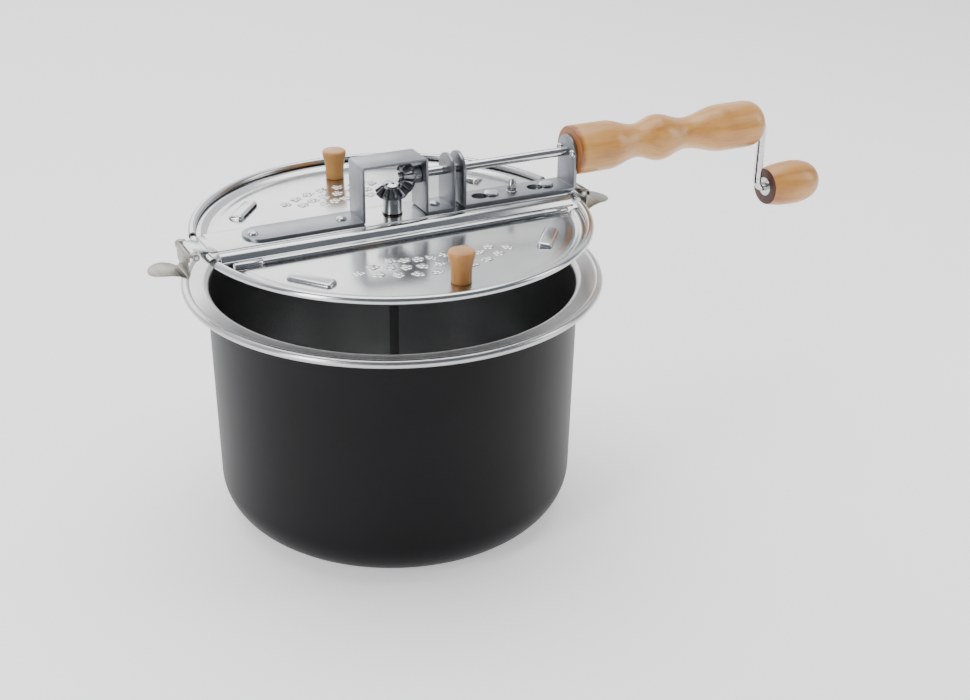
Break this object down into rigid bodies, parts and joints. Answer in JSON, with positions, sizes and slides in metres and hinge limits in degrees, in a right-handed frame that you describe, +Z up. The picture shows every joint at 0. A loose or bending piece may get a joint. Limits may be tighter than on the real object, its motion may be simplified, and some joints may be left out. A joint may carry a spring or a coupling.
{
  "type": "stovetop popcorn maker",
  "caption": "Stovetop popcorn popper: aluminium pot, clip-on lid with two hinged half-lids, crank through a wooden handle and a geared wire stirrer.",
  "frame": {"origin": "centre of the underside of the pot's flat base", "axes": "+X along the handle towards the crank knob, +Z up, +Y towards the rear half-lid"},
  "size_m": [0.456, 0.248, 0.2235],
  "materials": {
    "pot_finish": "satin near-black coating outside, bare aluminium rim and inside",
    "lid_aluminium": "bright pressed sheet",
    "plated_wire": "plated wire",
    "spring_steel": "satin spring steel",
    "bracket_steel": "satin zinc-plated steel",
    "fastener_steel": "plated steel",
    "bush_brass": "turned",
    "maple_wood": "clear lacquer",
    "stained_wood": "clear lacquer",
    "pale_wood": "clear lacquer",
    "polished_rod": "polished plated rod",
    "cast_gear": "dull casting"
  },
  "bodies": {
    "pot_body": {"pot": "pot_finish"},
    "lid_frame": {"crossbar": "lid_aluminium", "front_hinge_wire": "plated_wire", "rear_hinge_wire": "plated_wire", "left_clip_pin": "plated_wire", "right_clip_pin": "plated_wire", "gear_bracket": "bracket_steel", "bracket_rivets": "fastener_steel", "handle_bracket": "bracket_steel", "keyhole_rivets": "fastener_steel", "bracket_stud": "fastener_steel", "bracket_washer": "fastener_steel", "acorn_nut": "fastener_steel", "handle": "maple_wood", "handle_screws": "fastener_steel", "stirrer_bush": "bush_brass"},
    "front_lid": {"front_half_lid": "lid_aluminium", "front_lid_knob": "pale_wood", "front_knob_screw": "fastener_steel"},
    "rear_lid": {"rear_half_lid": "lid_aluminium", "rear_lid_knob": "pale_wood", "rear_knob_screw": "fastener_steel"},
    "left_clip_leaf": {"left_clip": "spring_steel"},
    "right_clip_leaf": {"right_clip": "spring_steel"},
    "crank": {"crank_rod": "polished_rod", "drive_gear": "cast_gear", "drive_gear_pin": "fastener_steel", "knob_retainer": "fastener_steel"},
    "crank_grip": {"crank_knob": "stained_wood", "knob_ferrule": "fastener_steel"},
    "stirrer": {"stirrer_shaft": "polished_rod", "driven_gear": "cast_gear", "driven_gear_pin": "fastener_steel", "stirrer_wire": "polished_rod", "stirrer_clip": "fastener_steel"}
  },
  "joints": [
    {"name": "lid_lift", "type": "slide", "parent": "pot_body", "child": "lid_frame", "axis": [0, 0, 1], "range_m": [-0.0303, 0.125]},
    {"name": "front_lid_hinge", "type": "hinge", "parent": "lid_frame", "child": "front_lid", "pos_m": [0, -0.0236, 0.18], "axis": [-1, 0, 0], "range_deg": [0, 90]},
    {"name": "rear_lid_hinge", "type": "hinge", "parent": "lid_frame", "child": "rear_lid", "pos_m": [0, 0.0236, 0.18], "axis": [1, 0, 0], "range_deg": [0, 90]},
    {"name": "left_clip_hinge", "type": "hinge", "parent": "lid_frame", "child": "left_clip_leaf", "pos_m": [-0.1215, 0, 0.1843], "axis": [0, 1, 0], "range_deg": [-10, 25]},
    {"name": "right_clip_hinge", "type": "hinge", "parent": "lid_frame", "child": "right_clip_leaf", "pos_m": [0.1215, 0, 0.1843], "axis": [0, -1, 0], "range_deg": [-10, 25]},
    {"name": "crank_turn", "type": "hinge", "parent": "lid_frame", "child": "crank", "pos_m": [0.263, 0, 0.2083], "axis": [1, 0, 0], "continuous": true},
    {"name": "grip_spin", "type": "hinge", "parent": "crank", "child": "crank_grip", "pos_m": [0.29, 0, 0.1623], "axis": [1, 0, 0], "continuous": true},
    {"name": "stirrer_spin", "type": "hinge", "parent": "lid_frame", "child": "stirrer", "pos_m": [0, 0, 0.1823], "axis": [0, 0, 1], "continuous": true}
  ],
  "couplings": [
    {"joint": "stirrer_spin", "follows": "crank_turn", "ratio": 1}
  ]
}
